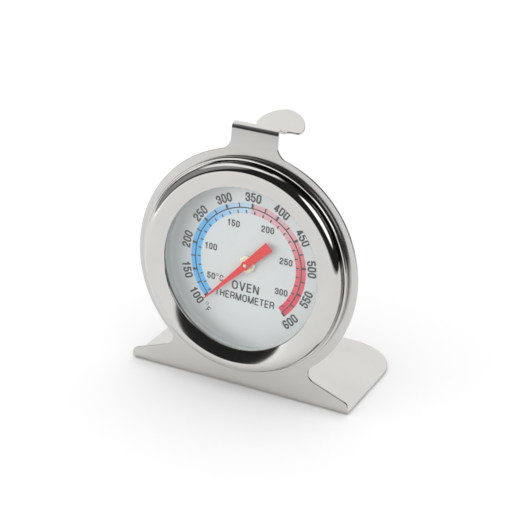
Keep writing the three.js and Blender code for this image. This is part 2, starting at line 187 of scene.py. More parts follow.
def spaced(points, gap=1e-4):
    """The points without any that repeat the one before, closed at the ends."""
    kept = []
    for point in points:
        if not kept or (point - kept[-1]).length > gap:
            kept.append(point)
    if (kept[0] - kept[-1]).length < gap:
        kept.pop()
    return kept


def signed_area(loop):
    return sum(a.x * b.y - b.x * a.y for a, b in zip(loop, loop[1:] + loop[:1])) / 2


def inset(loop, depth):
    """The loop moved into its solid: inwards if it runs anticlockwise, outwards if clockwise."""
    moved = []
    for i, here in enumerate(loop):
        into = (here - loop[i - 1]).normalized()
        out = (loop[(i + 1) % len(loop)] - here).normalized()
        along = (into + out).normalized()
        normal = Vector((-along.y, along.x))
        moved.append(here + normal * depth / max(into.dot(along), 0.5))
    return moved


# ------------------------------------------------------------ meshes
def wall_rings(thickness, edge, steps=3):
    """(inset, height) pairs round a sheet's edge, from its top face to its bottom one."""
    half = thickness / 2
    turn = [math.pi / 2 * k / steps for k in range(steps + 1)]
    top = [(edge * (1 - math.sin(t)), half - edge * (1 - math.cos(t))) for t in turn]
    return top + [(depth, -height) for depth, height in reversed(top)]


def sheet_solid(loops, thickness, edge):
    """A flat solid in x and y with rounded edges. The first loop is the outline and
    the rest are holes; z runs through the thickness."""
    loops = [spaced(loop) for loop in loops]
    loops = [loop if (signed_area(loop) > 0) == (i == 0) else loop[::-1]
             for i, loop in enumerate(loops)]
    bm = bmesh.new()
    rings = []
    for depth, height in wall_rings(thickness, edge):
        rings.append([[bm.verts.new((p.x, p.y, height)) for p in inset(loop, depth)]
                      for loop in loops])
    for upper, lower in zip(rings, rings[1:]):
        for top, bottom in zip(upper, lower):
            for i in range(len(top)):
                bm.faces.new((top[i - 1], bottom[i - 1], bottom[i], top[i]))
    for ring, turned_over in ((rings[0], False), (rings[-1], True)):
        flat = [v for loop in ring for v in loop]
        for a, b, c in tessellate_polygon([[v.co for v in loop] for loop in ring]):
            corners = (flat[a], flat[c], flat[b]) if turned_over else (flat[a], flat[b], flat[c])
            if len(set(corners)) == 3:
                bm.faces.new(corners)
    return bm


def lathe(profile, steps=SMALL_STEPS):
    """A turned solid on the dial axis, from a closed list of (radius, ahead) points."""
    bm = bmesh.new()
    rings = []
    for radius, ahead in profile:
        if radius < 1e-6:
            rings.append([bm.verts.new((0, -ahead * MM, 0))] * steps)
            continue
        spots = [polar(radius * MM, 2 * math.pi * k / steps) for k in range(steps)]
        rings.append([bm.verts.new((p.x, -ahead * MM, p.y)) for p in spots])
    closed = zip(rings, rings[1:] + rings[:1])
    for inner, outer in closed:
        for k in range(steps):
            corners = [inner[k - 1], inner[k], outer[k], outer[k - 1]]
            corners = list(dict.fromkeys(corners))
            if len(corners) > 2:
                bm.faces.new(corners)
    return bm


def eased(profile, radius=0.06, steps=4):
    """A turned profile with every corner off the axis rounded a little."""
    count = len(profile)
    points = []
    for i in range(count):
        here = Vector(profile[i])
        before = Vector(profile[i - 1])
        after = Vector(profile[(i + 1) % count])
        reach = min((before - here).length, (after - here).length) * 0.45
        turn = (here - before).angle(after - here, 0)
        if here.x < 1e-6 or turn < math.radians(25):
            points.append(tuple(here))
            continue
        r = min(radius, reach / math.tan(turn / 2))
        corner = [(before.x, before.y, 0), (here.x, here.y, r), (after.x, after.y, 0)]
        points += [tuple(p) for p in rounded(corner, steps)[1:-1]]
    return points


def quarter(radius, ahead, side, rise, steps=16):
    """A quarter turn from (radius + side, ahead) to (radius, ahead + rise)."""
    turn = [math.pi / 2 * k / steps for k in range(steps + 1)]
    return [(radius + side * math.cos(t), ahead + rise * math.sin(t)) for t in turn]


def place(bm, matrix):
    """Moves a mesh made in millimetres, x right, y up and z towards the viewer, to the dial."""
    bmesh.ops.transform(bm, matrix=matrix @ Matrix.Rotation(math.pi / 2, 4, "X")
                        @ Matrix.Scale(MM, 4), verts=bm.verts)
    return bm


def piece(name, bm, material, body, nodes=(), matrix=HEAD):
    """Makes a piece of the object from a mesh that matrix puts in the CAD's frame."""
    bmesh.ops.transform(bm, matrix=matrix, verts=bm.verts)
    bmesh.ops.recalc_face_normals(bm, faces=bm.faces)
    for face in bm.faces:
        face.smooth = True
    mesh = bpy.data.meshes.new(name)
    bm.to_mesh(mesh)
    bm.free()
    mesh.set_sharp_from_angle(angle=SHARP_ANGLE)
    mesh.materials.append(material)
    obj = bpy.data.objects.new(name, mesh)
    scene.collection.objects.link(obj)
    weighted = obj.modifiers.new("Even shading", "WEIGHTED_NORMAL")
    weighted.keep_sharp = True
    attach(obj, body)
    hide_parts(*nodes)
    return obj


# ------------------------------------------------------------ materials
class Nodes:
    """A short way to build one material's node tree."""

    def __init__(self, name):
        self.material = bpy.data.materials.new(name)
        self.material.use_nodes = True
        self.tree = self.material.node_tree
        self.shader = self.tree.nodes["Principled BSDF"]

    def add(self, kind, **values):
        node = self.tree.nodes.new(kind)
        for key, value in values.items():
            setattr(node, key, value)
        return node

    def link(self, source, target):
        self.tree.links.new(source, target)

    def set(self, **values):
        for key, value in values.items():
            self.shader.inputs[key.replace("_", " ")].default_value = value

    def place_at(self, scale=(1, 1, 1)):
        """The place on the object in the dial's frame, stretched by scale."""
        to_dial = HEAD.inverted()
        where = self.add("ShaderNodeTexCoord")
        framed = self.add("ShaderNodeMapping")
        framed.inputs["Location"].default_value = to_dial.to_translation()
        framed.inputs["Rotation"].default_value = to_dial.to_euler()
        self.link(where.outputs["Object"], framed.inputs["Vector"])
        stretch = self.add("ShaderNodeVectorMath", operation="MULTIPLY")
        stretch.inputs[1].default_value = scale
        self.link(framed.outputs["Vector"], stretch.inputs[0])
        return stretch.outputs["Vector"]

    def radius(self):
        """Distance from the dial axis."""
        flat = self.place_at((1, 0, 1))
        length = self.add("ShaderNodeVectorMath", operation="LENGTH")
        self.link(flat, length.inputs[0])
        return length.outputs["Value"]

    def noise(self, vector, scale, detail=4, roughness=0.55):
        node = self.add("ShaderNodeTexNoise")
        node.inputs["Scale"].default_value = scale
        node.inputs["Detail"].default_value = detail
        node.inputs["Roughness"].default_value = roughness
        self.link(vector, node.inputs["Vector"])
        return node.outputs["Fac"]

    def ring_noise(self, scale, detail=3):
        """Noise that only changes with distance from the dial axis, as turning marks do."""
        node = self.add("ShaderNodeTexNoise", noise_dimensions="1D")
        node.inputs["Scale"].default_value = scale
        node.inputs["Detail"].default_value = detail
        self.link(self.radius(), node.inputs["W"])
        return node.outputs["Fac"]

    def spread(self, value, low, high):
        """A 0 to 1 value spread over low to high."""
        node = self.add("ShaderNodeMapRange")
        node.inputs["To Min"].default_value = low
        node.inputs["To Max"].default_value = high
        self.link(value, node.inputs["Value"])
        return node.outputs["Result"]

    def shades(self, value, *stops):
        """A colour ramp: stops of (position, colour)."""
        node = self.add("ShaderNodeValToRGB")
        ramp = node.color_ramp
        while len(ramp.elements) < len(stops):
            ramp.elements.new(0.5)
        for element, (position, colour) in zip(ramp.elements, stops):
            element.position = position
            element.color = (*colour, 1)
        self.link(value, node.inputs["Fac"])
        return node.outputs["Color"]

    def bump(self, height, distance, strength=1.0):
        node = self.add("ShaderNodeBump")
        node.inputs["Distance"].default_value = distance * MM
        node.inputs["Strength"].default_value = strength
        self.link(height, node.inputs["Height"])
        self.link(node.outputs["Normal"], self.shader.inputs["Normal"])

    def colour(self, socket):
        self.link(socket, self.shader.inputs["Base Color"])

    def rough(self, socket):
        self.link(socket, self.shader.inputs["Roughness"])


def lighter(colour, factor):
    return tuple(min(c * factor, 1) for c in colour)


def sheet_steel():
    """Rolled stainless sheet: a soft satin with fine marks along the rolling direction."""
    m = Nodes("sheet_steel")
    base = (0.58, 0.57, 0.55)
    broad = m.noise(m.place_at(), 60, 2)
    grain = m.noise(m.place_at((60, 2500, 2500)), 1, 3)
    m.colour(m.shades(broad, (0.3, lighter(base, 0.97)), (0.7, lighter(base, 1.03))))
    m.rough(m.spread(grain, 0.17, 0.25))
    m.bump(grain, 0.004, 0.25)
    m.set(Metallic=1)
    return m.material


def polished_steel():
    """Pressed and buffed stainless: near mirror, with faint rings from the buffing."""
    m = Nodes("polished_steel")
    base = (0.61, 0.60, 0.58)
    rings = m.ring_noise(9000)
    smudge = m.noise(m.place_at(), 180, 3)
    m.colour(m.shades(smudge, (0.3, lighter(base, 0.98)), (0.7, lighter(base, 1.02))))
    m.rough(m.spread(rings, 0.04, 0.07))
    m.bump(rings, 0.002, 0.2)
    m.set(Metallic=1)
    return m.material


def plain_steel():
    m = Nodes("plain_steel")
    base = (0.52, 0.52, 0.50)
    marks = m.noise(m.place_at(), 4000, 3)
    m.colour(m.shades(marks, (0.3, lighter(base, 0.9)), (0.7, lighter(base, 1.06))))
    m.rough(m.spread(marks, 0.3, 0.45))
    m.bump(marks, 0.003, 0.3)
    m.set(Metallic=1)
    return m.material


def bright_steel():
    """Bright-plated sheet, for the ring that shows through the window."""
    m = Nodes("bright_steel")
    base = (0.86, 0.88, 0.87)
    marks = m.noise(m.place_at(), 2600, 3)
    m.colour(m.shades(marks, (0.3, lighter(base, 0.94)), (0.7, lighter(base, 1.04))))
    m.rough(m.spread(marks, 0.38, 0.5))
    m.set(Metallic=1)
    return m.material


def brass():
    m = Nodes("brass")
    base = (0.68, 0.60, 0.48)
    rings = m.ring_noise(14000)
    tarnish = m.noise(m.place_at(), 900, 3)
    m.colour(m.shades(tarnish, (0.3, lighter(base, 0.88)), (0.7, lighter(base, 1.05))))
    m.rough(m.spread(rings, 0.2, 0.34))
    m.bump(rings, 0.003, 0.3)
    m.set(Metallic=1)
    return m.material


def bimetal():
    """Rolled two-metal strip with a faint heat tint."""
    m = Nodes("bimetal")
    tint = m.noise(m.place_at(), 220, 2)
    grain = m.noise(m.place_at((200, 6000, 200)), 1, 2)
    m.colour(m.shades(tint, (0.3, (0.36, 0.31, 0.25)), (0.7, (0.50, 0.45, 0.38))))
    m.rough(m.spread(grain, 0.3, 0.42))
    m.bump(grain, 0.003, 0.25)
    m.set(Metallic=1)
    return m.material


def dial_paint():
    """Satin pale grey enamel on the pressed pan."""
    m = Nodes("dial_paint")
    base = (0.66, 0.69, 0.69)
    speck = m.noise(m.place_at(), 5200, 3)
    m.colour(m.shades(speck, (0.3, lighter(base, 0.985)), (0.7, lighter(base, 1.015))))
    m.rough(m.spread(speck, 0.42, 0.52))
    m.bump(speck, 0.002, 0.15)
    return m.material


def black_ink():
    m = Nodes("black_ink")
    speck = m.noise(m.place_at(), 3500, 3)
    m.colour(m.shades(speck, (0.3, (0.020, 0.021, 0.021)), (0.7, (0.034, 0.035, 0.035))))
    m.rough(m.spread(speck, 0.45, 0.6))
    return m.material


def band_ink():
    """The scale's colours: blue to pale blue, then pale pink to red, by angle."""
    m = Nodes("band_ink")
    parts = m.add("ShaderNodeSeparateXYZ")
    m.link(m.place_at(), parts.inputs["Vector"])
    angle = m.add("ShaderNodeMath", operation="ARCTAN2")
    m.link(parts.outputs["X"], angle.inputs[0])
    m.link(parts.outputs["Z"], angle.inputs[1])
    share = m.add("ShaderNodeMapRange")
    half = math.radians(SCALE_SWEEP / 2)
    share.inputs["From Min"].default_value = -half
    share.inputs["From Max"].default_value = half
    m.link(angle.outputs["Value"], share.inputs["Value"])
    m.colour(m.shades(
        share.outputs["Result"],
        (0.0, (0.07, 0.45, 0.90)),
        (0.30, (0.10, 0.47, 0.88)),
        (0.42, (0.41, 0.60, 0.80)),
        (0.497, (0.50, 0.65, 0.80)),
        (0.503, (0.72, 0.40, 0.45)),
        (0.66, (0.72, 0.38, 0.42)),
        (0.80, (0.76, 0.10, 0.14)),
        (1.0, (0.76, 0.025, 0.06))))
    speck = m.noise(m.place_at(), 3500, 3)
    m.rough(m.spread(speck, 0.42, 0.55))
    return m.material


def red_paint():
    m = Nodes("red_paint")
    base = (0.76, 0.012, 0.014)
    speck = m.noise(m.place_at(), 2600, 3)
    m.colour(m.shades(speck, (0.3, lighter(base, 0.95)), (0.7, lighter(base, 1.04))))
    m.rough(m.spread(speck, 0.45, 0.55))
    m.bump(speck, 0.004, 0.2)
    m.set(Specular_IOR_Level=0.3)
    return m.material


def window_glass():
    m = Nodes("window_glass")
    smudge = m.noise(m.place_at(), 90, 3)
    m.rough(m.spread(smudge, 0.0, 0.02))
    m.set(Base_Color=(0.985, 1, 0.995, 1), IOR=1.5, Transmission_Weight=1)
    return m.material


def gasket_fibre():
    m = Nodes("gasket_fibre")
    speck = m.noise(m.place_at(), 3000, 4)
    m.colour(m.shades(speck, (0.3, (0.16, 0.16, 0.15)), (0.7, (0.24, 0.24, 0.23))))
    m.rough(m.spread(speck, 0.75, 0.9))
    m.bump(speck, 0.01, 0.4)
    return m.material


SHEET_STEEL = sheet_steel()
POLISHED_STEEL = polished_steel()
PLAIN_STEEL = plain_steel()
BRIGHT_STEEL = bright_steel()
BRASS = brass()
BIMETAL = bimetal()
DIAL_PAINT = dial_paint()
BLACK_INK = black_ink()
BAND_INK = band_ink()
RED_PAINT = red_paint()
GLASS = window_glass()
GASKET = gasket_fibre()


# ------------------------------------------------------------ stand
def side_line():
    """The sheet's centre line from the foot's back edge, round the heel, up the plate,
    over the crest and along the hook. (back, up) in the plate's frame."""
    half = SHEET / 2
    heel = Vector((half, half * (1 + math.sin(LEAN)) / math.cos(LEAN)))
    toe = heel + polar(FOOT_DEPTH + 4, LEAN)
    bend = NECK_BEND - half
    overshoot = 1 / math.tan((math.pi / 2 - HOOK_FALL) / 2) - 1
    crest = Vector((half, NECK_TOP - half + bend * overshoot))
    valley = crest + polar(HOOK_FALL_LENGTH, -HOOK_FALL)
    lip = valley + polar(HOOK_RISE_LENGTH, HOOK_RISE)
    return rounded([(*toe, 0), (*heel, FOOT_BEND - half), (*crest, bend),
                    (*valley, HOOK_VALLEY_BEND), (*lip, 0)], BEND_STEPS)


LINE = side_line()
ALONG = [0.0]
for start, end in zip(LINE, LINE[1:]):
    ALONG.append(ALONG[-1] + (end - start).length)
HEEL = 1 + BEND_STEPS // 2  # the line's point in the middle of the heel
CREST = HEEL + BEND_STEPS + 1


def level_back(point):
    """How far back a point of the plate's frame lies, measured on the level."""
    return point.x * math.cos(LEAN) + point.y * math.sin(LEAN)


def reach_along(first, last, measure, value):
    """How far along the sheet the measure takes this value, between two of its points."""
    for i in range(first, last):
        low, high = measure(LINE[i]), measure(LINE[i + 1])
        if min(low, high) - 1e-9 <= value <= max(low, high) + 1e-9 and low != high:
            return ALONG[i] + (ALONG[i + 1] - ALONG[i]) * (value - low) / (high - low)
    raise ValueError(f"no point of the sheet lies at {value}")


def foot_point(x, back):
    return Vector((x, reach_along(0, HEEL, level_back, back)))


def plate_point(x, up):
    return Vector((x, reach_along(HEEL, CREST, lambda p: p.y, up)))


def hook_point(x, back):
    return Vector((x, reach_along(CREST, len(LINE) - 1, lambda p: p.x, back)))


def foot_edge():
    """The foot's right half, from the middle of its back edge to the heel."""
    inner = (FOOT_HALF_WIDTH - FOOT_CORNER, FOOT_DEPTH - FOOT_CORNER)
    corner = arc(inner, FOOT_CORNER, math.pi / 2, 0, 36)
    return [foot_point(0, FOOT_DEPTH)] + [foot_point(*p) for p in corner]


def wing_edge():
    """The wing's rounded tip, its sloping top and the fillet to the round plate."""
    tip = FOOT_HALF_WIDTH
    inner_x, inner_up = WING_INNER
    slope = (inner_up - WING_OUTER_HEIGHT) / (tip - WING_TIP_RADIUS - inner_x)
    points = rounded([(tip, SHEET, 0), (tip, WING_OUTER_HEIGHT - slope * WING_TIP_RADIUS, WING_TIP_RADIUS),
                      (inner_x, inner_up, 0)])[1:-1]
    normal = Vector((slope, 1)).normalized()
    along = Vector((1, -slope)).normalized()
    centre = Vector(WING_INNER) + normal * WING_FILLET
    for _ in range(20):  # slides it up or down the slope until it meets the round plate
        centre += along * (RING_RADIUS + WING_FILLET - (centre - Vector((0, DIAL_HEIGHT))).length)
    start = math.atan2(-normal.y, -normal.x)
    end = math.atan2(DIAL_HEIGHT - centre.y, -centre.x)
    return points + arc(centre, WING_FILLET, start, start + (end - start) % -math.tau, 10)


def neck_fillet():
    """The fillet between the round plate and the neck."""
    reach = RING_RADIUS + NECK_FILLET
    centre_x = NECK_HALF_WIDTH + NECK_FILLET
    centre_up = math.sqrt(reach ** 2 - centre_x ** 2)
    start = math.atan2(-centre_up, -centre_x)
    return arc((centre_x, DIAL_HEIGHT + centre_up), NECK_FILLET, start, -math.pi, 10)


def round_edge(start, end):
    """The round plate's edge between two points on it, ends left out."""
    middle = Vector((0, DIAL_HEIGHT))
    first = math.atan2(start.y - middle.y, start.x)
    last = math.atan2(end.y - middle.y, end.x)
    return arc(middle, RING_RADIUS, first, last, 120)[1:-1]


def plate_edge():
    wing = wing_edge()
    neck = neck_fillet()
    return [plate_point(*p) for p in wing + round_edge(wing[-1], neck[0]) + neck]


def hook_edge():
    """The hook's right half, from the neck to the middle of its crown."""
    corners = [(NECK_HALF_WIDTH, 0, 0),
               (NECK_HALF_WIDTH, HOOK_NECK_END, HOOK_NECK_ROUND),
               (HOOK_STEM, HOOK_TAPER_END, HOOK_STEM_ROUND),
               (HOOK_STEM, HOOK_FRONT, HOOK_ROOT_ROUND),
               (HOOK_HALF_WIDTH, HOOK_FRONT, HOOK_EAR_ROUND),
               (HOOK_HALF_WIDTH, HOOK_CROWN_START, 0)]
    depth = HOOK_CROWN - HOOK_CROWN_START
    power = 2 / HOOK_CROWN_POWER
    crown = []
    for k in range(1, CROWN_STEPS):
        turn = math.pi / 2 * k / CROWN_STEPS
        x = HOOK_HALF_WIDTH * math.cos(turn) ** power
        crown.append((x, HOOK_CROWN_START + depth * math.sin(turn) ** power))
    outline = [*rounded(corners)[1:], *crown, (0, HOOK_CROWN)]
    return [hook_point(*point) for point in outline]


def rivet_place(i):
    return on_dial(RIVET_CIRCLE, 90 + i * 360 / RIVET_COUNT)


def stand_bends(bm):
    """Cuts the flat sheet across at every step of its bends, then folds it."""
    for reach in ALONG[1:-1]:
        bmesh.ops.bisect_plane(bm, geom=bm.verts[:] + bm.edges[:] + bm.faces[:], dist=1e-5,
                               plane_co=(0, reach, 0), plane_no=(0, 1, 0))
    for vert in bm.verts:
        reach = min(max(vert.co.y, 1e-6), ALONG[-1] - 1e-6)
        i = next(k for k in range(len(ALONG) - 1) if ALONG[k + 1] >= reach - 1e-6)
        step = (LINE[i + 1] - LINE[i]).normalized()
        middle = LINE[i] + step * (reach - ALONG[i])
        at_corner = i + 2 < len(LINE) and abs(reach - ALONG[i + 1]) < 1e-4
        lean = step + (LINE[i + 2] - LINE[i + 1]).normalized() if at_corner else step
        lean.normalize()
        offset = Vector((-lean.y, lean.x)) * vert.co.z / step.dot(lean)
        middle += offset
        vert.co = (vert.co.x * MM, middle.x * MM, middle.y * MM)


def make_stand():
    right = foot_edge() + plate_edge() + hook_edge()
    left = [Vector((-p.x, p.y)) for p in right[-2:0:-1]]
    holes = [arc((0, 0), CASE_HOLE, 0, math.tau, BIG_STEPS)]
    holes += [arc(rivet_place(i), RIVET_SHANK + GAP, 0, math.tau, 24) for i in range(RIVET_COUNT)]
    plate_holes = [[plate_point(p.x, p.y + DIAL_HEIGHT) for p in hole] for hole in holes]
    bm = sheet_solid([right + left, *plate_holes], SHEET, SHEET_EDGE)
    stand_bends(bm)
    piece("stand_sheet", bm, SHEET_STEEL, STATIC, ["stand"], PLATE)


# ------------------------------------------------------------ case, bezel and window
def make_bezel():
    """Pressed ring: skirt, rounded shoulder and a dished face down to the window."""
    skirt, skirt_rear, shoulder, rim, rim_ahead = 26.9, 1.0, 2.4, 25, 4.24
    window, window_ahead, sheet = 21, 3.5, 0.5
    flat, drop = 0.6, 0.03
    side, rise = skirt - rim, rim_ahead - shoulder
    lip = quarter(window + sheet / 2, window_ahead - sheet / 2, -sheet / 2, sheet / 2, 6)
    outer = quarter(rim, shoulder, side, rise) + [(rim - flat, rim_ahead - drop)]
    outer += lip[::-1]
    inner = [(window + sheet / 2, window_ahead - sheet), (rim - flat, rim_ahead - drop - sheet)]
    inner += quarter(rim, shoulder, side - sheet, rise - sheet)[::-1]
    foot = [(skirt - sheet, skirt_rear + 0.05), (skirt - sheet + 0.08, skirt_rear),
            (skirt - 0.08, skirt_rear), (skirt, skirt_rear + 0.08)]
    piece("bezel", lathe(outer + inner + foot, BIG_STEPS), POLISHED_STEEL, STATIC,
          ["bezel_ring"])


def make_case():
    """Drawn cup with a forward rim, a flange, a dial shelf and a vented back."""
    flange, rim_ahead, wall, shelf = 27.8, 1.7, 23.2, -2.8
    cup, back, corner, sheet = 21.5, -9.4, 1.6, 0.5
    shoulder, deep = cup - corner, back + corner
    bush_hole, post_hole = 1.7, 0.8
    floor_edge = shoulder - 0.2
    shell = [(flange - sheet, rim_ahead - 0.1), (flange - sheet + 0.1, rim_ahead), (flange - 0.12, rim_ahead),
             (flange, rim_ahead - 0.12), (flange, GAP + 0.25), (flange - 0.25, GAP), (wall, GAP),
             (wall, shelf - sheet + 0.2), (wall - 0.2, shelf - sheet), (cup, shelf - sheet)]
    shell += quarter(shoulder, deep, corner, -corner)
    shell += [(floor_edge, back), (floor_edge, back + sheet)]
    shell += quarter(shoulder, deep, corner - sheet, sheet - corner)[::-1]
    shell += [(cup - sheet, shelf), (wall - sheet, shelf), (wall - sheet, GAP + sheet),
              (flange - sheet, GAP + sheet)]
    bm = lathe(shell, BIG_STEPS)
    holes = [arc((0, 0), bush_hole, 0, math.tau, 48)]
    holes.append(arc((POST_PLACE, 0), post_hole, 0, math.tau, 24))
    for i in range(VENT_COUNT):
        centre = on_dial(VENT_CIRCLE, FIRST_VENT + i * 360 / VENT_COUNT)
        holes.append(arc(centre, VENT_RADIUS, 0, math.tau, 40))
    outline = arc((0, 0), floor_edge + 0.05, 0, math.tau, BIG_STEPS)
    floor = place(sheet_solid([outline, *holes], sheet, edge=0.1),
                  Matrix.Translation((0, -(back + sheet / 2) * MM, 0)))
    join(bm, floor)
    piece("case_shell", bm, POLISHED_STEEL, STATIC, ["rear_case"])


def join(bm, other):
    """Adds another mesh to bm."""
    mesh = bpy.data.meshes.new("joining")
    other.to_mesh(mesh)
    other.free()
    bm.from_mesh(mesh)
    bpy.data.meshes.remove(mesh)


def make_rivets():
    front, rear, head, tail, taper, thick = 1.1, -0.9, 0.8, 1.4, 0.35, 0.45
    profile = eased([(0, front + thick), (head, front + thick), (head, front), (RIVET_SHANK, front),
                     (RIVET_SHANK, rear), (tail, rear), (tail - taper, rear - thick),
                     (0, rear - thick)], radius=0.15)
    for i in range(RIVET_COUNT):
        at = rivet_place(i)
        matrix = HEAD @ Matrix.Translation((at.x * MM, 0, at.y * MM))
        piece(f"rivet_{i + 1}", lathe(profile, steps=40), PLAIN_STEEL, STATIC,
              [f"case_rivet_{i + 1}"], matrix)


def plain_ring(inner, outer, front, rear, edge):
    """A ring of square section, or a disc where inner is 0, with its corners rounded."""
    section = eased([(inner, front), (outer, front), (outer, rear), (inner, rear)], edge)
    return lathe(section, BIG_STEPS)


def make_window():
    """The clear pane, its gasket and the ring that stands between it and the dial."""
    pane = plain_ring(inner=0, outer=24.2, front=2.8, rear=1.2, edge=0.15)
    lens = piece("window_pane", pane, GLASS, STATIC, ["lens"])
    lens.visible_shadow = False  # daylight passes the clear pane
    gasket = plain_ring(inner=22.9, outer=24.1, front=1.12, rear=0.88, edge=0.06)
    piece("window_gasket", gasket, GASKET, STATIC, ["lens_gasket"])
    spacer = plain_ring(inner=21.6, outer=22.4, front=0.95, rear=-0.5, edge=0.1)
    piece("spacer", spacer, BRIGHT_STEEL, STATIC, ["spacer_ring"])


# ------------------------------------------------------------ dial
def make_dial():
    """Shallow pan: printed face, fillet and short upright rim."""
    sheet, rim, rim_ahead, fillet, hole = 0.4, 22.4, -0.8, 1.1, 1.9
    centre, level, under = rim - sheet - fillet, DIAL_FACE + fillet, fillet + sheet
    profile = [(hole, DIAL_FACE)] + quarter(centre, level, fillet, -fillet)[::-1]
    profile += [(rim - sheet, rim_ahead - 0.1), (rim - sheet + 0.1, rim_ahead), (rim - 0.1, rim_ahead),
                (rim, rim_ahead - 0.1)]
    profile += quarter(centre, level, under, -under) + [(hole, DIAL_FACE - sheet)]
    piece("dial_pan", lathe(profile, BIG_STEPS), DIAL_PAINT, STATIC, ["dial_plate"])


def printed(name, bm, material, layer=1):
    """A printed layer on the dial, from a mesh made flat in millimetres."""
    ahead = DIAL_FACE + INK * (layer - 0.5) + 0.004
    turn = Matrix.Rotation(math.radians(SCALE_TURN), 4, "Y")
    flat = place(bm, turn @ Matrix.Translation((0, -ahead * MM, 0)))
    return piece(name, flat, material, STATIC)


def ink_solid(shapes):
    """One thin flat solid that covers all of the shapes, overlaps merged."""
    shapes = [shape if signed_area(shape) > 0 else shape[::-1] for shape in shapes]
    points = [point for shape in shapes for point in shape]
    numbers = iter(range(len(points)))
    outlines = [[next(numbers) for _ in shape] for shape in shapes]
    spots, _, cells, _, _, sources = delaunay_2d_cdt(points, [], outlines, 0, 1e-5)
    cells = [list(cell) for cell, source in zip(cells, sources) if source]
    bm = bmesh.new()
    top = [bm.verts.new((p.x, p.y, INK / 2)) for p in spots]
    bottom = [bm.verts.new((p.x, p.y, -INK / 2)) for p in spots]
    sides = set()
    for cell in cells:
        bm.faces.new([top[i] for i in cell])
        bm.faces.new([bottom[i] for i in reversed(cell)])
        sides.update(zip(cell, cell[1:] + cell[:1]))
    for a, b in sides:
        if (b, a) not in sides:
            bm.faces.new((top[a], bottom[a], bottom[b], top[b]))
    bmesh.ops.delete(bm, geom=[v for v in bm.verts if not v.link_faces], context="VERTS")
    return bm


def stroke(path, width):
    """The four-sided pieces of a pen line along a path, with square ends unless it closes."""
    closed = (path[0] - path[-1]).length < 1e-6
    path = spaced(path)
    if not closed:
        path[0] = path[0] + (path[0] - path[1]).normalized() * width / 2
        path[-1] = path[-1] + (path[-1] - path[-2]).normalized() * width / 2
    sides = []
    for i, here in enumerate(path):
        before = path[i - 1] if i or closed else here * 2 - path[1]
        after = path[(i + 1) % len(path)] if i + 1 < len(path) or closed else here * 2 - path[-2]
        into, out = (here - before).normalized(), (after - here).normalized()
        along = (into + out).normalized()
        reach = Vector((-along.y, along.x)) * width / 2 / max(into.dot(along), 0.6)
        sides.append((here + reach, here - reach))
    pairs = zip(sides, sides[1:] + sides[:1] if closed else sides[1:])
    return [[a[0], a[1], b[1], b[0]] for a, b in pairs]


def band(inner, outer, start, end, steps):
    """The pieces of a stretch of ring between two scale angles."""
    turn = [start + (end - start) * k / steps for k in range(steps + 1)]
    return [[on_dial(inner, a), on_dial(outer, a), on_dial(outer, b), on_dial(inner, b)]
            for a, b in zip(turn, turn[1:])]


def tick(inner, outer, degrees, width):
    side = on_dial(width / 2, degrees + 90)
    low, high = on_dial(inner, degrees), on_dial(outer, degrees)
    return [low - side, low + side, high + side, high - side]


def fahrenheit(value):
    """The scale angle of a temperature in degrees Fahrenheit."""
    share = (value - SCALE_LOW) / (SCALE_HIGH - SCALE_LOW)
    return SCALE_SWEEP * (share - 0.5)


def celsius(value):
    return fahrenheit(value * 9 / 5 + 32)


def make_scale():
    """The coloured band, the arc and the ticks: Fahrenheit outside it, Celsius inside."""
    half = SCALE_SWEEP / 2
    printed("scale_colours", ink_solid(band(BAND_INNER, BAND_OUTER, -half, half, 180)), BAND_INK)
    shapes = band(ARC_RADIUS - ARC_WIDTH / 2, ARC_RADIUS + ARC_WIDTH / 2, -half, half, 180)
    for value in range(SCALE_LOW, SCALE_HIGH + 1, 25):
        width = TICK_WIDTH if value % 50 else BOLD_TICK_WIDTH
        shapes.append(tick(ARC_RADIUS, BAND_OUTER, fahrenheit(value), width))
    for value in range(40, 320, 10):
        if -half < celsius(value) < half:
            shapes.append(tick(BAND_INNER, BAND_INNER + SHORT_TICK, celsius(value), TICK_WIDTH))
    printed("scale_marks", ink_solid(shapes), BLACK_INK, 2)


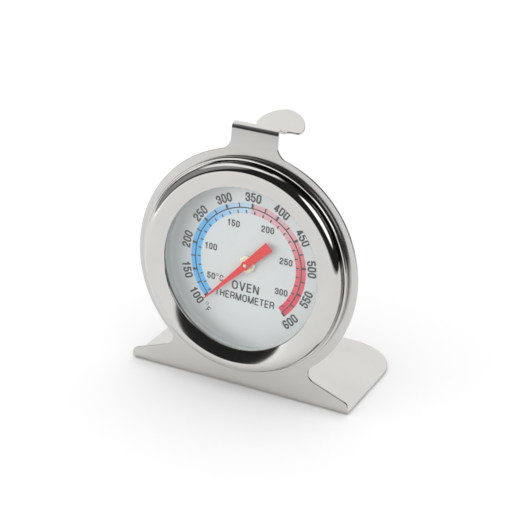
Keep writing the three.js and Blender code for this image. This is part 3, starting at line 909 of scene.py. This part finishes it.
# Condensed sans characters as pen lines. Each corner is (x, y, radius) across the
# character's box, its radius a share of the width; slants are straight bars with
# level ends, from (x, y) to (x, y).
ROUND = [(0.5, 0, 0), (1, 0, 0.5), (1, 1, 0.5), (0, 1, 0.5), (0, 0, 0.5), (0.5, 0, 0)]
LINES = {
    "0": [ROUND],
    "1": [[(0.62, 0, 0), (0.62, 1, 0)], [(0.2, 0.77, 0), (0.6, 0.93, 0)]],
    "2": [[(0, 0.74, 0), (0, 1, 0.5), (1, 1, 0.5), (1, 0.6, 0.4), (0, 0.2, 0.25), (0, 0, 0), (0.9, 0, 0)]],
    "3": [[(0, 0.74, 0), (0, 1, 0.5), (1, 1, 0.5), (1, 0.53, 0.4), (0.55, 0.53, 0)],
          [(0.55, 0.53, 0), (1, 0.53, 0.4), (1, 0, 0.5), (0, 0, 0.5), (0, 0.26, 0)]],
    "4": [[(0.74, 0.1, 0), (0.74, 0.9, 0)], [(0, 0.27, 0), (0.95, 0.27, 0)]],
    "5": [[(0.9, 1, 0), (0.06, 1, 0), (0.03, 0.6, 0)],
          [(0.2, 0.6, 0), (1, 0.6, 0.45), (1, 0, 0.5), (0, 0, 0.5), (0, 0.26, 0)]],
    "6": [[(1, 0.81, 0), (1, 1, 0.42), (0, 1, 0.5), (0, 0, 0.5), (1, 0, 0.5), (1, 0.52, 0.5),
           (0, 0.52, 0.5), (0, 0.3, 0)]],
    "C": [[(1, 0.73, 0), (1, 1, 0.5), (0, 1, 0.5), (0, 0, 0.5), (1, 0, 0.5), (1, 0.27, 0)]],
    "E": [[(0.9, 1, 0), (0, 1, 0), (0, 0, 0), (0.9, 0, 0)], [(0, 0.52, 0), (0.8, 0.52, 0)]],
    "F": [[(0, 0.1, 0), (0, 1, 0), (0.9, 1, 0)], [(0, 0.5, 0), (0.75, 0.5, 0)]],
    "H": [[(0, 0.1, 0), (0, 0.9, 0)], [(1, 0.1, 0), (1, 0.9, 0)], [(0, 0.52, 0), (1, 0.52, 0)]],
    "M": [[(0, 0.1, 0), (0, 0.9, 0)], [(1, 0.1, 0), (1, 0.9, 0)]],
    "N": [[(0, 0.1, 0), (0, 0.9, 0)], [(1, 0.1, 0), (1, 0.9, 0)]],
    "O": [ROUND],
    "R": [[(0, 0.1, 0), (0, 1, 0), (1, 1, 0.4), (1, 0.48, 0.4), (0, 0.48, 0)],
          [(0.6, 0.48, 0), (1, 0.48, 0.35), (1, 0.1, 0)]],
    "T": [[(0.1, 1, 0), (0.9, 1, 0)], [(0.5, 0.1, 0), (0.5, 1, 0)]],
}
SLANTS = {
    "4": [(0.74, 1, 0, 0.27)],
    "M": [(0, 1, 0.5, 0), (1, 1, 0.5, 0)],
    "N": [(0, 1, 1, 0)],
    "V": [(0, 1, 0.5, 0), (1, 1, 0.5, 0)],
}
WIDE = {"M": 1.3, "O": 1.05, "V": 1.1, "E": 0.9, "F": 0.9, "T": 0.92}


def glyph(character, width, weight):
    """A character's shapes in a box one unit tall, from the line width given."""
    span = Vector((width - weight, 1 - weight))

    def spot(x, y):
        return Vector((x * span.x, y * span.y)) + Vector((weight, weight)) / 2

    shapes = []
    for line in LINES.get(character, []):
        corners = [(*spot(x, y), radius * span.x) for x, y, radius in line]
        shapes += stroke(rounded(corners, 6), weight)
    for x1, y1, x2, y2 in SLANTS.get(character, []):
        reach = Vector((0.54 * weight, 0))  # half the level cut across a slanted bar
        top = spot(x1, y1) + Vector((0, weight / 2 * (y1 == 1)))
        foot = spot(x2, y2) - Vector((0, weight / 2 * (y2 == 0)))
        shapes.append([top - reach, foot - reach, foot + reach, top + reach])
    return shapes


def label(bm, text, at, height, turn=0.0, width=0.53, weight=0.18, gap=0.11):
    """Adds flat lettering to bm, its middle at a point of the dial, turned clockwise."""
    widths = [width * WIDE.get(character, 1) for character in text]
    left = -(sum(widths) + gap * (len(text) - 1)) / 2
    turned = Matrix.Rotation(math.radians(-turn), 2)
    for character, wide in zip(text, widths):
        shapes = [[at + turned @ (p + Vector((left, -0.5))) * height for p in shape]
                  for shape in glyph(character, wide, weight)]
        join(bm, ink_solid(shapes))
        left += wide + gap


def round_label(bm, text, radius, degrees):
    """Adds lettering that follows the dial's edge, its tops outwards or, low down, inwards."""
    spacing, height = 1.52, 2.38
    low_down = abs(degrees) > 90
    step = math.degrees(spacing / radius) * (-1 if low_down else 1)
    for i, character in enumerate(text):
        at = degrees + step * (i - (len(text) - 1) / 2)
        label(bm, character, on_dial(radius, at), height, at + 180 * low_down, width=0.56, weight=0.185)


def fahrenheit_numerals(bm):
    """The outer numbers. The first and last sit a little further out than the rest."""
    ring, end_ring = 17.45, 17.75
    for value in range(SCALE_LOW + 50, SCALE_HIGH, 50):
        round_label(bm, str(value), ring, fahrenheit(value))
    round_label(bm, str(SCALE_LOW), end_ring, fahrenheit(SCALE_LOW) + 4.2)
    round_label(bm, str(SCALE_HIGH), end_ring, fahrenheit(SCALE_HIGH) - 1.3)
    degree, letter = -141.8, -146.1
    label(bm, "O", on_dial(16.7, degree), 0.85, degree + 180, width=1, weight=0.16)
    label(bm, "F", on_dial(17.75, letter), 1.65, letter + 180, width=0.6, weight=0.16)


def celsius_numerals(bm):
    """The inner numbers, all upright."""
    height = 1.75
    places = {50: (-9.8, -5.4), 100: (-10.5, 2.35), 150: (-4.8, 9.8), 200: (4.6, 10.15),
              250: (10.25, 3.05), 300: (9.7, -5.1)}
    for value, place_on_dial in places.items():
        label(bm, str(value), Vector(place_on_dial), height, width=0.58, weight=0.185, gap=0.12)
    label(bm, "O", Vector((-8.1, -4.75)), 0.7, width=1)
    label(bm, "C", Vector((-6.9, -5.4)), height, width=0.58, weight=0.15)


def make_lettering():
    numerals = bmesh.new()
    fahrenheit_numerals(numerals)
    celsius_numerals(numerals)
    printed("scale_numerals", numerals, BLACK_INK, 2)
    words = bmesh.new()
    label(words, "OVEN", Vector((-0.1, -6.25)), 2.4, width=0.68, weight=0.165, gap=0.13)
    label(words, "THERMOMETER", Vector((-0.1, -9.25)), 2.03, width=0.62, weight=0.155, gap=0.12)
    printed("dial_words", words, BLACK_INK, 2)


# ------------------------------------------------------------ movement
def make_pointer():
    """Flat blade, broad at the tail and fine at the tip, with a raised boss."""
    front, thick, tip, tip_half, tail, tail_half = -0.47, 0.3, 15.7, 0.12, 8.7, 1.34
    boss, boss_ahead, hole = 1.15, -0.35, 0.6
    corners = [(-tail_half, -tail), (tail_half, -tail), (tip_half, tip), (-tip_half, tip)]
    outline = rounded([(0, -tail, 0), (*corners[1], 0.12), (*corners[2], 0.08), (*corners[3], 0.08),
                       (*corners[0], 0.12), (0, -tail, 0)], 6)
    blade = sheet_solid([outline, arc((0, 0), hole, 0, math.tau, 40)], thick, edge=0.06)
    turn = Matrix.Rotation(POINTER_REST, 4, "Y")
    bm = place(blade, turn @ Matrix.Translation((0, -(front - thick / 2) * MM, 0)))
    ring = eased([(hole, boss_ahead), (boss, boss_ahead), (boss, front - thick + 0.05),
                  (hole, front - thick + 0.05)], radius=0.08)
    join(bm, lathe(ring))
    piece("pointer_blade", bm, RED_PAINT, TURNING, ["pointer"])


def make_turned_parts():
    """The spindle and every bush, hub, washer and post on or beside it."""
    bore = SPINDLE_BORE
    spindle = [(0, -0.16), (0.2, -0.17), (0.38, -0.22), (0.5, -0.34), (0.5, -0.85), (0.7, -0.95),
               (0.7, -9.35), (0, -9.35)]
    front_bush = [(bore, -1.45), (2.25, -1.45), (2.25, -1.75), (1.6, -1.75), (1.6, -3.6), (bore, -3.6)]
    rear_bush = [(bore, -8.35), (1.4, -8.35), (1.4, -9.7), (2.4, -9.7), (2.4, -10.1), (0, -10.1),
                 (0, -9.6), (bore, -9.6)]
    post = [(0, -4.2), (0.75, -4.2), (0.75, -8.8), (0.5, -8.8), (0.5, -9.7), (1.2, -9.7),
            (1.2, -10.1), (0, -10.1)]

    def collar(radius, front, rear):
        return [(bore, front), (radius, front), (radius, rear), (bore, rear)]

    parts = [
        ("spindle_shaft", "spindle", spindle, BRASS, TURNING, "brass_parts", 0),
        ("dial_bush", "front_bush", front_bush, BRASS, STATIC, "brass_parts", 0),
        ("back_bush", "rear_bush", rear_bush, BRASS, STATIC, "brass_parts", 0),
        ("hub", "pointer_hub", collar(1.1, -0.87, -1.35), BRASS, TURNING, "brass_parts", 0),
        ("collet", "coil_collet", collar(1.6, -4.05, -7.9), BRASS, TURNING, "brass_parts", 0),
        ("washer_front", "front_washer", collar(1.5, -3.7, -3.95), PLAIN_STEEL, STATIC, "plain_steel", 0),
        ("washer_rear", "rear_washer", collar(1.5, -8.0, -8.25), PLAIN_STEEL, STATIC, "plain_steel", 0),
        ("post", "coil_post", post, PLAIN_STEEL, STATIC, "plain_steel", POST_PLACE),
    ]
    for name, node, profile, material, body, slot, x in parts:
        matrix = HEAD @ Matrix.Translation((x * MM, 0, 0))
        piece(name, lathe(eased(profile, radius=0.08)), material, body, [node], matrix)


def make_coil():
    """Flat spiral strip from the collet to the post, as it lies at rest."""
    inner, outer, turns, thick, front, rear = 1.85, 12.2, 5, 0.35, -4.4, -7.6
    steps = turns * 72
    edge = 0.05
    section = [(edge, front), (thick - edge, front), (thick, front - edge), (thick, rear + edge),
               (thick - edge, rear), (edge, rear), (0, rear + edge), (0, front - edge)]
    bm = bmesh.new()
    rings = []
    for k in range(steps + 1):
        share = k / steps
        base = inner + (outer - inner) * share
        ring = []
        for offset, ahead in section:
            at = on_dial(base + offset, 90 + 360 * turns * share) * MM
            ring.append(bm.verts.new((at.x, -ahead * MM, at.y)))
        rings.append(ring)
    for a, b in zip(rings, rings[1:]):
        for i in range(len(section)):
            bm.faces.new((a[i - 1], a[i], b[i], b[i - 1]))
    bm.faces.new(rings[0])
    bm.faces.new(rings[-1])
    piece("coil_strip", bm, BIMETAL, STATIC, ["bimetal_coil"])


make_stand()
make_bezel()
make_case()
make_rivets()
make_window()
make_dial()
make_scale()
make_lettering()
make_pointer()
make_turned_parts()
make_coil()


# ------------------------------------------------------------ studio
def make_floor():
    """A pale round floor, most of it behind the object."""
    radius, front = 0.62, -0.32
    bm = bmesh.new()
    bmesh.ops.create_circle(bm, cap_ends=True, radius=radius, segments=96)
    bmesh.ops.translate(bm, vec=(0, front + radius, 0), verts=bm.verts)
    mesh = bpy.data.meshes.new("floor")
    bm.to_mesh(mesh)
    bm.free()
    floor = bpy.data.objects.new("floor", mesh)
    floor.location.z = -0.0001
    scene.collection.objects.link(floor)
    m = Nodes("floor")
    m.set(Base_Color=(0.93, 0.93, 0.93, 1), Roughness=0.9)
    mesh.materials.append(m.material)


class Sky:
    """A short way to build the world's node tree."""

    def __init__(self, name):
        self.world = bpy.data.worlds.new(name)
        self.world.use_nodes = True
        self.tree = self.world.node_tree
        self.tree.nodes.clear()
        self.where = self.tree.nodes.new("ShaderNodeTexCoord")

    def link(self, source, target):
        self.tree.links.new(source, target)

    def glow(self, towards, low, high, dim, bright):
        """Strength that rises from dim to bright as a direction nears the one given."""
        dot = self.tree.nodes.new("ShaderNodeVectorMath")
        dot.operation = "DOT_PRODUCT"
        dot.inputs[1].default_value = Vector(towards).normalized()
        self.link(self.where.outputs["Generated"], dot.inputs[0])
        level = self.tree.nodes.new("ShaderNodeMapRange")
        level.interpolation_type = "SMOOTHSTEP"
        for name, value in (("From Min", low), ("From Max", high), ("To Min", dim), ("To Max", bright)):
            level.inputs[name].default_value = value
        self.link(dot.outputs["Value"], level.inputs["Value"])
        return level.outputs["Result"]

    def combine(self, operation, first, second):
        """Two strengths taken together; a difference is kept between 0 and 1."""
        node = self.tree.nodes.new("ShaderNodeMath")
        node.operation = operation
        node.use_clamp = operation == "SUBTRACT"
        self.link(first, node.inputs[0])
        self.link(second, node.inputs[1])
        return node.outputs["Value"]

    def background(self, strength=None):
        node = self.tree.nodes.new("ShaderNodeBackground")
        node.inputs["Color"].default_value = (1, 1, 1, 1)
        if strength:
            self.link(strength, node.inputs["Strength"])
        return node.outputs["Background"]

    def choose(self, factor, first, second):
        node = self.tree.nodes.new("ShaderNodeMixShader")
        self.link(factor, node.inputs["Fac"])
        self.link(first, node.inputs[1])
        self.link(second, node.inputs[2])
        return node.outputs["Shader"]


def make_world():
    """White to the eye, even soft light on the object, and soft boxes in its reflections."""
    sky = Sky("studio")
    scene.world = sky.world
    boxes = sky.glow((-0.45, 0.3, 0.84), 0.80, 0.90, 0.02, 1.2)  # overhead, on the left
    for box in (((-0.39, 0.83, 0.41), 0.86, 0.95, 0, 1.15),  # behind
                ((0.75, -0.13, 0.65), 0.89, 0.94, 0, 1.8),  # high on the right
                ((-0.85, -0.2, 0.45), 0.74, 0.86, 0, 0.35),  # low on the left
                ((0, 0, -1), 0.03, 0.1, 0, 0.55)):  # the ground beyond the floor
        boxes = sky.combine("MAXIMUM", boxes, sky.glow(*box))
    even = sky.glow((0.3, -0.9, 0.3), -1, 1, 0.9, 1.26)
    path = sky.tree.nodes.new("ShaderNodeLightPath")
    mirrored = sky.combine("SUBTRACT", path.outputs["Is Glossy Ray"], path.outputs["Is Transmission Ray"])
    lit = sky.choose(mirrored, sky.background(even), sky.background(boxes))
    output = sky.tree.nodes.new("ShaderNodeOutputWorld")
    seen = sky.choose(path.outputs["Is Camera Ray"], lit, sky.background())
    sky.link(seen, output.inputs["Surface"])


def make_key():
    """A low soft lamp on the left that polished metal doesn't reflect."""
    light = bpy.data.lights.new("key", "AREA")
    light.shape = "RECTANGLE"
    light.size, light.size_y = 0.24, 0.1
    light.energy = 0.26
    lamp = bpy.data.objects.new("key", light)
    scene.collection.objects.link(lamp)
    lamp.location = (-0.26, -0.27, 0.045)
    lamp.rotation_mode = "QUATERNION"
    lamp.rotation_quaternion = (Vector((0, 0, 0.035)) - lamp.location).to_track_quat("-Z", "Y")
    lamp.visible_glossy = False


def make_camera():
    azimuth, elevation, roll = (math.radians(v) for v in (25.14, 24.15, 2.43))
    distance = 0.38962
    back = Vector((math.sin(azimuth) * math.cos(elevation), -math.cos(azimuth) * math.cos(elevation),
                   math.sin(elevation)))
    aim = Vector((0.00318, -0.01559, 0.03651))
    data = bpy.data.cameras.new("camera")
    data.lens = 111.6
    data.clip_start = 0.01
    camera = bpy.data.objects.new("camera", data)
    scene.collection.objects.link(camera)
    level = (-back).to_track_quat("-Z", "Y").to_matrix()
    camera.matrix_world = Matrix.Translation(aim + back * distance) @ (
        level @ Matrix.Rotation(roll, 3, "Z")).to_4x4()
    scene.camera = camera


make_floor()
make_world()
make_key()
make_camera()
scene.view_settings.view_transform = "Standard"
